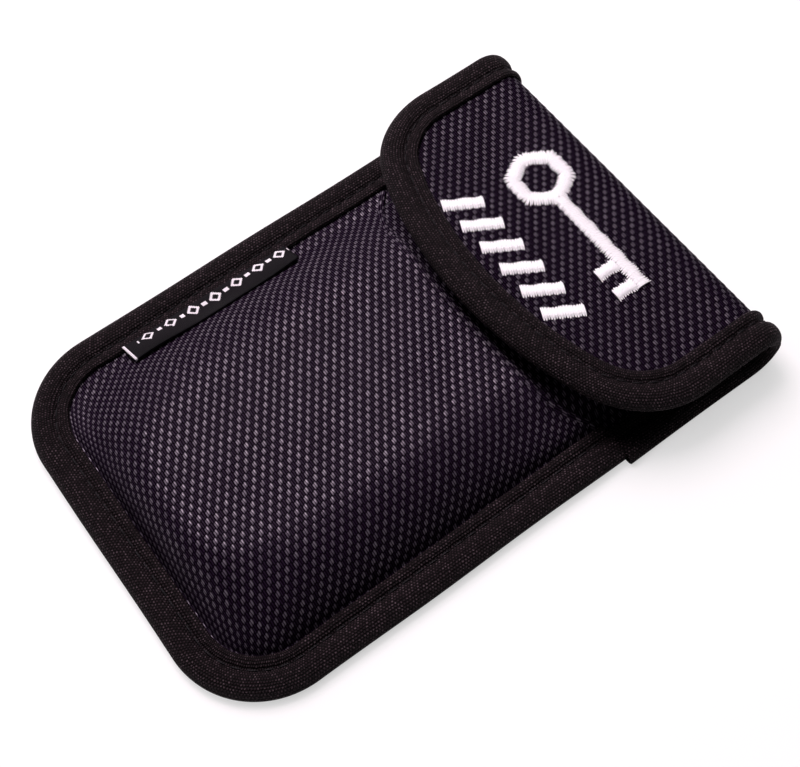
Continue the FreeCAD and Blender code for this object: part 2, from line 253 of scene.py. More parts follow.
def addNode(tree, kind, inputs=(), **settings):
    # adds a node; a kind such as Math.SINE names its operation too, and its inputs come in order or by name,
    # as numbers, hex colours, sockets or whole nodes
    kind, _, operation = kind.partition(".")
    node = tree.nodes.new("ShaderNode" + kind)
    for name, value in (settings | ({"operation": operation} if operation else {})).items():
        setattr(node, name, value)
    sockets = [socket for socket in node.inputs if socket.enabled]
    for key, value in (inputs if isinstance(inputs, dict) else dict(enumerate(inputs))).items():
        socket = sockets[key] if isinstance(key, int) else node.inputs[key]
        if isinstance(value, bpy.types.Node):
            value = next(output for output in value.outputs if output.enabled)
        if isinstance(value, bpy.types.NodeSocket):
            tree.links.new(value, socket)
        else:
            socket.default_value = fromHex(value) if isinstance(value, str) else value
    return node


def startMaterial(name):
    material = bpy.data.materials.new(name)
    material.use_nodes = True
    material.node_tree.nodes.clear()
    return material, partial(addNode, material.node_tree)


def clothPlace(add, drift, driftScale):
    # the piece's own flat cloth coordinates in millimetres, drifting a little as hand-laid cloth does
    flat = add("UVMap", uv_map="clothMap")
    noise = add("TexNoise", {"Vector": flat, "Scale": driftScale, "Detail": 2.0}).outputs["Color"]
    moved = add("VectorMath.MULTIPLY_ADD", [noise, (drift, drift, 0), (-drift / 2, -drift / 2, 0)])
    place = add("VectorMath.ADD", [flat, moved])
    parts = add("SeparateXYZ", [place])
    return place, parts.outputs["X"], parts.outputs["Y"]


def cellChance(add, place, cell):
    # a random value for each small cell of a weave, so that no two yarns look the same
    corner = add("VectorMath.FLOOR", [add("VectorMath.DIVIDE", [place, (*cell, 1)])])
    return add("TexWhiteNoise", [corner], noise_dimensions="2D").outputs["Value"]


def wave(add, value, pitch, kind="SINE"):
    # a wave that passes through zero at every pitch
    return add("Math." + kind, [add("Math.MULTIPLY", [value, pi / pitch])])


def closeSurface(add, material, height, relief, surface):
    bump = add("Bump", {"Strength": 1.0, "Distance": relief * mm, "Height": height})
    add("OutputMaterial", [add("BsdfPrincipled", surface | {"Normal": bump})])
    return material


weave = {"floatLength": 1.45, "floatWidth": 0.97, "lean": 0.5, "relief": 0.12, "crossShare": 0.3}
# a yarn's filaments are about 0.03 mm thick, so they are drawn bunched, two ridges to a yarn, to show at all
nylonLook = {
    # the crest colour is a painted highlight, the ridge colour partly painted sheen, the gap colour painted
    # shade
    "gap": "000000", "furrow": "020003", "ridge": "2C1B34", "crest": "665F69",
    "filament": 0.485, "frayed": 0.2, "relief": 0.03, "drift": 0.3,
    "roughFloat": 0.34, "roughGap": 0.6, "gloss": 0.46,
    "surface": {"IOR": 1.53, "Specular Tint": "FFF0FF"},
}


def ballisticNylon(name, look):
    # coarse plain weave of filament nylon: grey crests in rows that are a painted highlight, finely lined
    # purplish yarns that are partly painted sheen, black gaps that are painted shade
    material, add = startMaterial(name)
    place, u, v = clothPlace(add, look["drift"], 0.2)
    row = add("Math.MULTIPLY", [v, 1 / weave["floatWidth"]])
    inRow = add("Math.SUBTRACT", [add("Math.FRACT", [row]), 0.5])
    leaning = add("Math.MULTIPLY_ADD", [inRow, weave["lean"] * weave["floatWidth"], u])
    along, across = wave(add, leaning, weave["floatLength"]), wave(add, row, 1.0)
    cell = add("Math.MULTIPLY", [along, across])
    alongSize, acrossSize = [add("Math.ABSOLUTE", [part]) for part in (along, across)]

    fray = add("TexNoise", {"Vector": place, "Scale": 0.9, "Detail": 3.0, "Roughness": 0.6}).outputs["Fac"]
    line = wave(add, add("Math.MULTIPLY_ADD", [fray, look["frayed"], v]), look["filament"] / 2, "COSINE")
    line = add("MapRange", [line, 0.9, -0.9], interpolation_type="SMOOTHSTEP")
    yarn = cellChance(add, place, (weave["floatLength"], weave["floatWidth"]))

    body = add("Math.MULTIPLY", [alongSize, add("Math.POWER", [acrossSize, 0.35])])
    body = add("Math.MULTIPLY", [body, add("Math.SIGN", [cell])])
    onFloat = add("MapRange", [body, 0.05, 0.95], interpolation_type="SMOOTHSTEP")
    # this mask lays the crest colour, a painted highlight on each float, and also makes the crests glossier
    shine = add("Math.MULTIPLY", [add("MapRange", [line, 0.0, 1.0, 0.2, 1.0]), onFloat])
    shine = add("Math.MULTIPLY", [shine, add("MapRange", [yarn, 0.0, 1.0, 0.6, 1.1])])
    shine = add("Math.MULTIPLY", [shine, add("MapRange", [fray, 0.3, 0.7, 0.7, 1.1])], use_clamp=True)
    # the gap colour between the yarns, and the lines fading towards each yarn's edge, are painted shade in
    # the weave
    onYarn = [add("MapRange", [size, 0.0, full]) for size, full in ((alongSize, 0.5), (acrossSize, 0.35))]
    furrow = add("Math.MULTIPLY", onYarn)
    # the ridge colour is partly the yarns' own purplish lines and partly painted sheen, brighter on the
    # floats than on the yarns that cross them
    level = add("MapRange", [cell, -1.0, 0.3, 0.4, 1.0])
    ridge = add("Math.MULTIPLY", [add("Math.MULTIPLY", [line, level]), furrow])
    colour = look["gap"]
    for part, share in (("furrow", furrow), ("ridge", ridge), ("crest", shine)):
        colour = add("Mix", [share, colour, look[part]], data_type="RGBA")
    rough = add("MapRange", [shine, 0.0, 0.5, look["roughGap"], look["roughFloat"]])
    gloss = add("Math.MULTIPLY", [add("Math.MULTIPLY_ADD", [ridge, 0.4, shine]), look["gloss"]])
    height = add("Math.MULTIPLY_ADD", [line, 0.4, onFloat])
    return closeSurface(add, material, height, look["relief"], look["surface"] | {
        "Base Color": colour, "Roughness": rough, "Specular IOR Level": gloss})


tapeLook = {
    "low": "000000", "knuckle": "32252A", "spark": "64555B", "rowPitch": 0.6, "knucklePitch": 0.66,
    "edge": 1.3, "relief": 0.24, "drift": 0.5,
    "surface": {"Roughness": 0.7, "IOR": 1.5, "Specular IOR Level": 0.12},
}


def edgeTape():
    # ribbed polyester tape: rows of small dull knuckles, a few of them with a painted glint, black between
    look = tapeLook
    material, add = startMaterial("polyester edge tape, rib woven")
    place, u, v = clothPlace(add, look["drift"], 0.5)
    row = add("Math.FLOOR", [add("Math.DIVIDE", [v, look["rowPitch"]])])
    shifted = add("Math.MULTIPLY_ADD", [row, look["knucklePitch"] / 2, u])
    rows, knots = wave(add, v, look["rowPitch"]), wave(add, shifted, look["knucklePitch"])
    knuckle = add("Math.POWER", [add("Math.ABSOLUTE", [add("Math.MULTIPLY", [rows, knots])]), look["edge"]])
    chance = cellChance(add, add("CombineXYZ", [shifted, v]), (look["knucklePitch"], look["rowPitch"]))
    fuzz = add("TexNoise", {"Vector": place, "Scale": 1.3, "Detail": 5.0, "Roughness": 0.75}).outputs["Fac"]
    body = add("MapRange", [add("Math.ADD", [fuzz, chance]), 0.3, 1.3, 0.4, 1.0])
    body = add("Math.MULTIPLY", [body, knuckle], use_clamp=True)
    # the spark colour on a few knuckles is a painted glint
    spark = add("MapRange", [add("Math.MULTIPLY_ADD", [chance, 0.6, fuzz]), 0.8, 1.2])
    spark = add("Math.MULTIPLY", [spark, add("MapRange", [knuckle, 0.5, 0.95])], use_clamp=True)
    colour = look["low"]
    for part, share in (("knuckle", body), ("spark", spark)):
        colour = add("Mix", [share, colour, look[part]], data_type="RGBA")
    height = add("Math.MULTIPLY_ADD", [fuzz, 0.7, knuckle])
    return closeSurface(add, material, height, look["relief"], look["surface"] | {"Base Color": colour})


def plainCloth(name, dark, light, pitch, relief, surface):
    material, add = startMaterial(name)
    place, u, v = clothPlace(add, 0.3, 0.2)
    thread = add("Math.ABSOLUTE", [add("Math.MULTIPLY", [wave(add, part, pitch) for part in (u, v)])])
    uneven = add("TexNoise", {"Vector": place, "Scale": 0.35, "Detail": 3.0}).outputs["Fac"]
    share = add("Math.MULTIPLY", [thread, add("MapRange", [uneven, 0.3, 0.7, 0.6, 1.0])])
    colour = add("Mix", [share, dark, light], data_type="RGBA")
    return closeSurface(add, material, thread, relief, surface | {"Base Color": colour})


def feltedPadding():
    # needled polyester felt: soft grey, matted, with no thread direction
    material, add = startMaterial("polyester felt, needled")
    flat = add("UVMap", uv_map="clothMap")
    fuzz = add("TexNoise", {"Vector": flat, "Scale": 1.4, "Detail": 5.0, "Roughness": 0.7})
    colour = add("Mix", [fuzz, "6A6A6D", "A5A5A8"], data_type="RGBA")
    return closeSurface(add, material, fuzz, 0.2, {
        "Base Color": colour, "Roughness": 0.95, "Specular IOR Level": 0.3})


def sewnThread(name, dark, light, rough, twist, gloss):
    # twisted filament thread: a fine diagonal twist and a soft gloss along it
    material, add = startMaterial(name)
    _, u, v = clothPlace(add, 0.1, 0.5)
    share = add("MapRange", [wave(add, add("Math.MULTIPLY_ADD", [v, 1.2, u]), twist / 2), -1.0, 1.0])
    colour = add("Mix", [share, dark, light], data_type="RGBA")
    return closeSurface(add, material, share, 0.03, {
        "Base Color": colour, "Roughness": rough, "IOR": 1.54, "Specular IOR Level": gloss})


labelLook = {
    "ground": "020103", "rib": "0D090F", "white": "EDE8EC", "thread": 0.24,
    "motifPitch": 2.75, "motifMiddle": 9.5, "motifHalf": 1.2, "line": 0.34, "dotReach": 0.55, "dotHalf": 0.4,
    "margin": 3.0, "endLine": 0.3, "endHalf": 0.28,
    "surface": {"Roughness": 0.6, "IOR": 1.5, "Specular IOR Level": 0.12},
}


def labelSatin():
    # damask label ribbon: dense black satin with a dull gloss, its plain diamonds and end line woven in white
    look = labelLook
    material, add = startMaterial("polyester label ribbon, satin woven")
    _, u, v = clothPlace(add, 0.05, 0.2)
    stepU, stepV = [add("Math.SNAP", [part, look["thread"]]) for part in (u, v)]
    turn = add("Math.PINGPONG", [stepU, look["motifPitch"]])
    offMiddle = add("Math.ABSOLUTE", [add("Math.SUBTRACT", [stepV, look["motifMiddle"]])])
    diamond = add("Math.COMPARE", [add("Math.ADD", [turn, offMiddle]), look["motifHalf"], look["line"]])
    nearDot = add("Math.COMPARE", [turn, look["motifPitch"], look["dotReach"]])
    dot = add("Math.MULTIPLY", [nearDot, add("Math.LESS_THAN", [offMiddle, look["dotHalf"]])])
    inside = add("Math.GREATER_THAN", [u, look["margin"]])
    motif = add("Math.MULTIPLY", [add("Math.MAXIMUM", [diamond, dot]), inside])
    white = add("Math.MAXIMUM", [motif, add("Math.COMPARE", [u, look["endLine"], look["endHalf"]])])
    ribs = add("Math.ABSOLUTE", [wave(add, v, look["thread"])])
    colour = look["ground"]
    for part, share in (("rib", ribs), ("white", white)):
        colour = add("Mix", [share, colour, look[part]], data_type="RGBA")
    height = add("Math.MULTIPLY_ADD", [white, 0.8, ribs])
    return closeSurface(add, material, height, 0.05, look["surface"] | {"Base Color": colour})


finishes = {
    "ballistic_nylon": ballisticNylon("ballistic nylon, plain woven", nylonLook),
    "edge_tape": edgeTape(),
    "padding": feltedPadding(),
    # nickel-plated threads: a grey satin sheen with a fine square grain
    "shielding_cloth": plainCloth("nickel-plated polyester, plain woven", "77777C", "A4A4A8", pitch=0.5,
                                  relief=0.03, surface={"Roughness": 0.42, "Metallic": 0.85}),
    # thin taffeta: dark and smooth, with a soft gloss
    "lining": plainCloth("polyester taffeta, plain woven", "131215", "25232A", pitch=0.42, relief=0.05,
                         surface={"Roughness": 0.5, "IOR": 1.5, "Specular IOR Level": 0.3}),
    "label_satin": labelSatin(),
    "hook_and_loop": sewnThread("nylon loop pile, brushed", "0D0C0E", "2B292E",
                                rough=0.6, twist=0.4, gloss=0.3),
    "black_thread": sewnThread("bonded nylon sewing thread", "060506", "18151A",
                               rough=0.6, twist=0.5, gloss=0.2),
    "white_thread": sewnThread("rayon embroidery thread, twisted", "F8F4F8", "FFFFFF",
                               rough=0.42, twist=0.6, gloss=0.5),
}
# the flap's cloth is cut across the roll, so its floats shine less at the same light; this copy also paints
# its highlight and sheen darker, as painted shade on the flap
shadedFlapNylon = ballisticNylon("ballistic nylon, cut on the cross",
                           nylonLook | {"gloss": 0.2, "crest": "544E57", "ridge": "26172D"})
hookPlastic = sewnThread("nylon hooks, moulded", "101012", "222124", rough=0.4, twist=2.0, gloss=0.4)
print("materials made")


# The front pocket's cloth


front = {
    "foot": 8.2, "base": pouch["flangeTop"] - 0.5, "shoulder": 25.0, "footAngle": 34.0,
    "unevenness": 0.22, "waves": 26.0, "skew": 0.092, "clothInset": 6.4,
    # each pair says where a change begins and where it is complete
    "sag": 0.35, "sagInset": (20, 42), "riseHeight": (3.0, 11.0),
    # the left side rises gently, so that the label can lie on it
    "leftReach": 11.0, "leftAngle": 31.0, "leftX": (-4, 30), "leftEnd": (44, 62),
    "endReach": -9.0, "endFrom": (28, 46), "endSide": (8, 30),
    "mouthDip": 3.2, "mouthY": (-8, 28),
    "seamDip": 1.3, "seamFall": (8.6, 12), "seamRise": (12, 21),
    "scoopDepth": 8.0, "scoopHalf": 37.0, "scoopFloor": 20.0, "scoopBelly": 0.6,
}


def insetOf(x, y):
    # how far in from the pouch's edge each point lies, by the nested outlines of the swell
    low = np.zeros(np.broadcast(x, y).shape)
    high = np.full_like(low, 60.0)
    for _ in range(26):
        inset = (low + high) / 2
        radius = np.maximum(pouch["corner"] - inset, pouch["footCorner"])
        radius = radius + pouch["cornerGrowth"] * np.maximum(inset - 8, 0)
        fromSide = pouch["halfWidth"] - np.abs(x) - inset
        fromEnd = y - pouch["bottomY"] - inset
        inCorner = (fromSide < radius) & (fromEnd < radius)
        fromArc = radius - np.hypot(radius - fromSide, radius - fromEnd)
        gap = np.where(inCorner, fromArc, np.minimum(fromSide, fromEnd))
        low = np.where(gap > 0, inset, low)
        high = np.where(gap > 0, high, inset)
    return (low + high) / 2


def swellHeight(inset, foot, shoulder, base, top, startAngle):
    # the rise from a foot, at an angle of its own, to a level crown
    share = np.clip((inset - foot) / (shoulder - foot), 0, 1)
    start = np.radians(startAngle)
    angle = np.arccos(np.clip(np.cos(start) * (1 - share), -1, 1))
    return base + (top - base) * (np.sin(angle) - np.sin(start)) / (1 - np.sin(start))


def leftness(x):
    return smooth(-x, *front["leftX"])


def footAngle(x):
    return front["footAngle"] + front["leftAngle"] * leftness(x)


def frontHeight(x, y, depth):
    inset = insetOf(x, y)
    left = leftness(x)
    shoulder = front["shoulder"] + front["leftReach"] * left * (1 - smooth(-y, *front["leftEnd"]))
    atEnd = smooth(-y, *front["endFrom"]) * (1 - smooth(np.abs(x), *front["endSide"]))
    shoulder = shoulder + front["endReach"] * atEnd
    foot, top = front["foot"] + depth, pouch["crown"] - depth
    height = swellHeight(inset, foot, shoulder, front["base"], top, footAngle(x))
    rise = smooth(height, *front["riseHeight"])
    inSeam = left * smooth(inset, *front["seamFall"]) * (1 - smooth(inset, *front["seamRise"]))
    height = height - front["mouthDip"] * rise * smooth(y, *front["mouthY"]) - front["seamDip"] * inSeam
    height = height - front["sag"] * smooth(inset, *front["sagInset"])
    height = height + front["unevenness"] * rise * wander(x, y, front["waves"], 0.4)
    return np.maximum(height, pouch["flangeTop"] - depth)


def frontPoint(x, y, depth):
    return stacked(x, y, frontHeight(x, y, depth))


def mouthEdge(x):
    # the front pocket's mouth, a shallow scoop with a flat floor and round shoulders
    reach = front["scoopHalf"] - front["scoopFloor"]
    radius = (reach ** 2 + front["scoopDepth"] ** 2) / (2 * front["scoopDepth"])
    out = np.clip(np.abs(x) - front["scoopFloor"], 0, reach)
    floorY = pouch["mouthY"] - front["scoopDepth"] + radius - np.sqrt(radius ** 2 - out ** 2)
    return floorY - front["scoopBelly"] * (1 - np.clip(np.abs(x) / front["scoopFloor"], 0, 1) ** 2)


def flatMap(u, v):
    return stacked(u.ravel(), v.ravel())


def bakeMap(u, v):
    return stacked(*[(part.ravel() - part.min()) / np.ptp(part) for part in (u, v)]) * 0.98 + 0.01


def yarnRelief(u, v):
    # the woven surface itself: floats stand up, and the yarns between them lie lower
    row = v / weave["floatWidth"]
    leaning = u + weave["lean"] * weave["floatWidth"] * (row - np.floor(row) - 0.5)
    cell = np.sin(leaning * pi / weave["floatLength"]) * np.sin(row * pi)
    up = np.clip(cell, 0, None) ** 0.75 + weave["crossShare"] * np.clip(-cell, 0, None) ** 0.75
    return weave["relief"] * (up - 0.5)


def makeFrontCloth():
    # the yarns run evenly over the swell, so the mesh follows them and is spaced by length along the surface
    step = {"u": weave["floatLength"] / 4.8, "v": weave["floatWidth"] / 4}
    sampleX = np.linspace(-pouch["halfWidth"], pouch["halfWidth"], 721)
    sampleY = np.linspace(pouch["bottomY"], pouch["mouthY"] + 1.5, 769)
    lengthX = runLength(stacked(sampleX, frontHeight(sampleX, 0 * sampleX - 15, 0)))
    lengthX -= lengthX[-1] / 2
    lengthY = runLength(stacked(sampleY, frontHeight(0 * sampleY, sampleY, 0)))
    reach = int((lengthX[-1] + front["skew"] * lengthY[-1] / 2) / step["u"])
    u, v = np.meshgrid(np.arange(-reach, reach + 1) * step["u"], np.arange(0, lengthY[-1], step["v"]))
    x = np.interp(u + front["skew"] * (v - lengthY[-1] / 2), lengthX, sampleX)
    y = np.interp(v, lengthY, sampleY)
    edge = mouthEdge(x)
    inset = insetOf(x, y)
    keep = (inset > front["clothInset"]) & (np.concatenate([y[:1], y[:-1]]) < edge)
    y = np.minimum(y, edge)
    height = frontHeight(x, y, 0) + yarnRelief(u, v) * smooth(inset, 7.5, 9.5)
    makeCloth("frontCloth", stacked(x, y, height), keep, {"clothMap": flatMap(u, v), "OFBake": bakeMap(u, v)},
              "pouch", ["front_panel"])


def makeLayer(name, u, v, keep, place, depths, slotName, nodes, body="pouch", bend=None, turned=False):
    # one closed thin layer between two depths under a surface
    top, low = [place(u, v, depth).reshape(-1, 3) for depth in depths]
    faces = gridFaces(*u.shape, keep)
    faces, points = closeSheet(faces[:, ::-1] if turned else faces, top, low)
    points, faces, (cloth,) = dropLoose(points, faces, np.tile(flatMap(u, v), (2, 1)))
    piece = finishPiece(addMesh(name, points, faces, {"clothMap": cloth}), body, slotName, nodes, bend)
    if slotName == "padding":
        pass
    else:
        declareSheet(piece, top.reshape(*u.shape, 3), keep)


def makeFrontLayer(name, slotName, node, depth, thickness, drop):
    margin = front["foot"] + depth
    half = pouch["halfWidth"] - margin
    lowY = pouch["bottomY"] + margin
    x, y = np.meshgrid(np.linspace(-half, half, 61), np.linspace(lowY, pouch["mouthY"], 76))
    edge = mouthEdge(x) - drop
    keep = (insetOf(x, y) > margin - 0.4) & (np.concatenate([y[:1], y[:-1]]) < edge)
    makeLayer(name, x, np.minimum(y, edge), keep, frontPoint, (depth, depth + thickness), slotName, [node])


hem = {"reach": 5.6, "out": 0.5, "under": 1.06, "ply": 0.4}


def makeMouthHem():
    # the front cloth's upper edge, turned under and sewn down along the mouth
    x = np.linspace(-front["scoopHalf"] + 0.6, front["scoopHalf"] - 0.6, 209)
    path = stacked(x, mouthEdge(x))
    inward = sideWays(path, -1)
    middle = hem["under"] / 2
    outer = [(0.9, -0.03), (0.4, -0.04)]
    outer += [(-hem["out"] * cos(a), middle * (1 - sin(a))) for a in halfTurn]
    inner = [(0.9, 0.0), (0.4, hem["ply"] * 0.4)]
    inner += [(0.1 - 0.15 * cos(a), middle - (middle - hem["ply"]) * sin(a)) for a in halfTurn]
    for line, depth in ((outer, hem["under"]), (inner, hem["under"] - hem["ply"])):
        line += [(inset, depth) for inset in (1.2, 3.4, hem["reach"])]
    section = np.array(outer + inner[::-1])
    flat = path[:, None] + inward[:, None] * section[None, :, :1]
    height = frontHeight(flat[..., 0], flat[..., 1], 0) - section[None, :, 1]
    piece = addFoldedStrip("mouthHem", np.dstack([flat, height]), runLength(path), outer, flip=True)
    finishPiece(piece, "pouch", "ballistic_nylon", ["mouth_hem"])


makeFrontCloth()
makeMouthHem()
makeFrontLayer("frontPadding", "padding", "front_padding", depth=0.56, thickness=0.5, drop=6.0)
makeFrontLayer("frontLining", "lining", "front_lining", depth=1.12, thickness=0.25, drop=0.0)
print("front pocket made")


# The fold and the flap


flapLow, flapHigh = nodeBox("flap_binding")
flap = {
    "half": round(flapHigh[0], 1), "tipY": round(flapLow[1], 1),
    "corner": 22.0, "archDrop": 4.6, "rise": 3.85, "sag": 1.6, "total": 3.2, "clothDepth": 0.76,
    "unevenness": 0.18, "waves": 30.0, "skew": 0.25, "clothInset": 4.0,
    "tapeInset": 7.5, "underTape": 0.3,  # the weave's share of relief that is left where the tape lies on it
}
# how the closed flap rises over the pocket from the fold to its tip, and sags at its sides
flapShape = {
    "share": (0.0, 0.3, 0.62, 0.95, 1.3),
    "rise": (0.0, 0.04, 0.4, 1.0, 1.06),
    "sag": (0.0, 0.15, 0.5, 0.9, 1.0),
}
flapLength = rollLength + pouch["rollY"] - flap["tipY"]
# the flap's outline: straight sides, round corners, and one wide arch through the tip
cornerX = flap["half"] - flap["corner"]
cornerY = flap["tipY"] + flap["corner"] + flap["archDrop"]
toTip = flap["tipY"] + flap["corner"]
archY = (toTip ** 2 - cornerY ** 2 - cornerX ** 2) / (2 * (toTip - cornerY))
archJoin = atan2(cornerX, archY - cornerY)


def throughPoints(at, stations, values):
    # a smooth line through a few values
    stations, values = np.array(stations), np.array(values)
    slopes = np.gradient(values, stations)
    k = np.clip(np.searchsorted(stations, at) - 1, 0, len(stations) - 2)
    width = stations[k + 1] - stations[k]
    s = np.clip((at - stations[k]) / width, 0, 1)
    return ((2 * s ** 3 - 3 * s ** 2 + 1) * values[k] + (s ** 3 - 2 * s ** 2 + s) * width * slopes[k]
            + (3 * s ** 2 - 2 * s ** 3) * values[k + 1] + (s ** 3 - s ** 2) * width * slopes[k + 1])


def rollPoint(x, run, depth, side, flatZ):
    # a point of the cloth that goes round the fold, run being its way from the middle of the fold's outside
    radius = pouch["foldRadius"] - depth
    angle = side * np.clip(run, 0, rollLength) / pouch["foldRadius"]
    onRoll = run < rollLength
    y = np.where(onRoll, pouch["rollY"] + radius * np.cos(angle), pouch["rollY"] - (run - rollLength))
    z = np.where(onRoll, pouch["foldRadius"] + radius * np.sin(angle), flatZ)
    return stacked(x + 0 * y, y, z + 0 * x)


def flapPoint(x, run, depth):
    # a point of the flap, by its way up the fold and down the flap
    share = np.clip(run - rollLength, 0, None) / (pouch["rollY"] - flap["tipY"])
    rise, sag = [throughPoints(share, flapShape["share"], flapShape[part]) for part in ("rise", "sag")]
    lift = flap["rise"] * rise - flap["sag"] * sag * (x / flap["half"]) ** 2
    point = rollPoint(x, run, depth, 1, foldTop - depth + lift)
    uneven = smooth(run, rollLength, rollLength + 12) * wander(x, point[..., 1], flap["waves"], 1.3)
    point[..., 2] += flap["unevenness"] * uneven
    return point


def backPoint(x, run, depth):
    # a point of the back, by its way down the fold and along the table
    return rollPoint(x, run, depth, -1, depth)


def fromFoldLine(y):
    return rollLength + pouch["rollY"] - y


def flapEdgePath(step):
    # the flap's edge, from the left end of the fold round the tip to the right end
    straight = fromFoldLine(cornerY)
    side = np.linspace(0, straight, int(straight / step) + 1)[:-1]
    turn = np.linspace(pi / 2, archJoin, int(flap["corner"] * (pi / 2 - archJoin) / step) + 2)[:-1]
    arch = archY - flap["tipY"]
    sweep = np.linspace(archJoin, -archJoin, int(2 * arch * archJoin / step) + 2)[:-1]
    cornerRun = fromFoldLine(cornerY - flap["corner"] * np.cos(turn))
    corner = stacked(cornerX + flap["corner"] * np.sin(turn), cornerRun)
    right = np.concatenate([stacked(np.full_like(side, flap["half"]), side), corner])
    middle = stacked(arch * np.sin(sweep), fromFoldLine(archY - arch * np.cos(sweep)))
    return np.concatenate([right, middle, right[::-1] * [-1, 1]])[::-1]


def flapInset(x, run):
    # how far inside the flap's edge a point lies
    y = pouch["rollY"] - (run - rollLength)
    inArch = (y < cornerY) & (np.arctan2(np.abs(x), archY - y) <= archJoin)
    toCorner = flap["corner"] - np.hypot(np.abs(x) - cornerX, cornerY - y)
    inset = np.where(y >= cornerY, flap["half"] - np.abs(x), toCorner)
    return np.where(inArch, archY - flap["tipY"] - np.hypot(x, archY - y), inset)


def makeFlapCloth():
    # the flap's cloth, cut a little on the slant
    step = {"u": weave["floatLength"] / 6, "v": weave["floatWidth"] / 4}
    reach = int((flap["half"] + flap["skew"] * flapLength / 2) / step["u"]) + 2
    u, v = np.meshgrid(np.arange(-reach, reach + 1) * step["u"], np.arange(0, flapLength, step["v"]))
    x = u - flap["skew"] * (v - flapLength / 2)
    inset = flapInset(x, v)
    relief = yarnRelief(u, -v) * np.where(inset > flap["tapeInset"], 1.0, flap["underTape"])
    grid, keep = flapPoint(x, v, flap["clothDepth"] - relief), inset > flap["clothInset"]
    makeCloth("flapCloth", grid, keep, {"clothMap": flatMap(u, -v), "OFBake": bakeMap(u, v)},
              "flap", ["flap_panel"], upperBend, shadedFlapNylon, turned=True)


def foldGrid(half, length, columns, rows):
    # across the pouch, and from the middle of the fold round the roll and on for a length
    run = np.concatenate([np.linspace(0, rollLength, 13)[:-1], np.linspace(rollLength, length, rows)])
    return np.meshgrid(np.linspace(-half, half, columns), run)


def backGrid(margin, columns, rows):
    u, v = foldGrid(pouch["halfWidth"] - margin, fromFoldLine(pouch["bottomY"]) - margin, columns, rows)
    return u, v, np.minimum(pouch["rollY"], pouch["rollY"] + rollLength - v)


back = {"margin": 1.5, "lift": 0.02, "stepInset": (8.4, 9.4), "stepRun": (10.0, 11.5)}


def makeBackCloth():
    # it lies flat on the table, and steps up a tape's thickness where the tape wraps its edge
    u, v, y = backGrid(back["margin"], columns=121, rows=190)
    inset = insetOf(u, y)
    press = smooth(inset, *back["stepInset"]) * smooth(pouch["foldY"] - y, *back["stepRun"])
    grid = backPoint(u, v, flap["clothDepth"] - (flap["clothDepth"] - back["lift"]) * press)
    makeCloth("backCloth", grid, inset > back["margin"] - 0.1, {"clothMap": flatMap(u, v)},
              "pouch", ["back_panel", "fold_panel"], lowerBend)


# what lies under the outer cloth: name, the depths of its two faces, slot
plies = [("Padding", (1.32, 1.82), "padding"), ("Shield", (1.88, 2.13), "shielding_cloth"),
         ("Lining", (2.19, 2.44), "lining")]
plyInset = {"flap": 2.0, "back": 11.84, "ease": 0.01}


def makePlies():
    flapU, flapV = foldGrid(flap["half"] - plyInset["flap"], flapLength - plyInset["flap"],
                            columns=73, rows=43)
    flapKeep = flapInset(flapU, flapV) > plyInset["flap"] - plyInset["ease"]
    backU, backV, backY = backGrid(plyInset["back"], columns=61, rows=91)
    backKeep = insetOf(backU, backY) > plyInset["back"] - plyInset["ease"]
    for name, depths, slotName in plies:
        node = name.lower()
        makeLayer("flap" + name, flapU, flapV, flapKeep, flapPoint, depths, slotName, ["flap_" + node],
                  "flap", upperBend, turned=True)
        makeLayer("back" + name, backU, backV, backKeep, backPoint, depths, slotName,
                  ["back_" + node, "fold_" + node], "pouch", lowerBend)


makeFlapCloth()
makeBackCloth()
makePlies()
print("fold and flap made")


# The wall between the two pockets


divider = {
    "foot": 9.83, "shoulder": 20.5, "leftReach": 15.0, "top": 7.55, "base": 1.32, "seam": 0.5, "inset": 2.0,
    "tapeWidth": 8.0,
}


def dividerPoint(x, y, depth):
    shoulder = divider["shoulder"] + divider["leftReach"] * leftness(x)
    foot, base, top = divider["foot"] + depth, divider["base"], divider["top"] - depth
    height = swellHeight(insetOf(x, y), foot, shoulder, base, top, footAngle(x))
    return stacked(x, y, np.maximum(height, base + divider["seam"] - depth))


def makeDividerLayer(name, slotName, node, depths, half, lowY, highY):
    x, y = np.meshgrid(np.linspace(-half, half, 75), np.linspace(lowY, highY, 81))
    makeLayer(name, x, y, insetOf(x, y) > divider["inset"], dividerPoint, depths, slotName, [node])


dividerEdge = {
    "half": round(nodeBox("divider_binding")[1][0], 1), "over": 0.28, "under": 0.8, "ply": 0.24, "round": 0.3,
}


def makeDividerTape():
    # a thin tape folded over the upper edge of the wall between the pockets
    edge, topY = dividerEdge, pouch["keyMouthY"]
    middle, bend = (edge["under"] - edge["over"]) / 2, (edge["under"] + edge["over"]) / 2
    along = np.linspace(topY - divider["tapeWidth"], topY - 0.2, 9)
    outer, inner = [foldedLine(along, topY, out, middle, half, halfTurn) for half, out in (
        (bend, edge["round"]), (bend - edge["ply"], edge["round"] - edge["ply"] + 0.02))]
    section = np.array(outer + inner[::-1])
    x = np.linspace(-edge["half"], edge["half"], 91)
    px = np.repeat(x[:, None], len(section), 1)
    py = np.repeat(section[None, :, 0], len(x), 0)
    level = dividerPoint(px, np.full_like(px, topY - 1), 0)[..., 2]
    rings = stacked(px, py, level - section[None, :, 1])
    piece = addFoldedStrip("dividerTape", rings, x - x[0], outer)
    finishPiece(piece, "pouch", "edge_tape", ["divider_binding"])


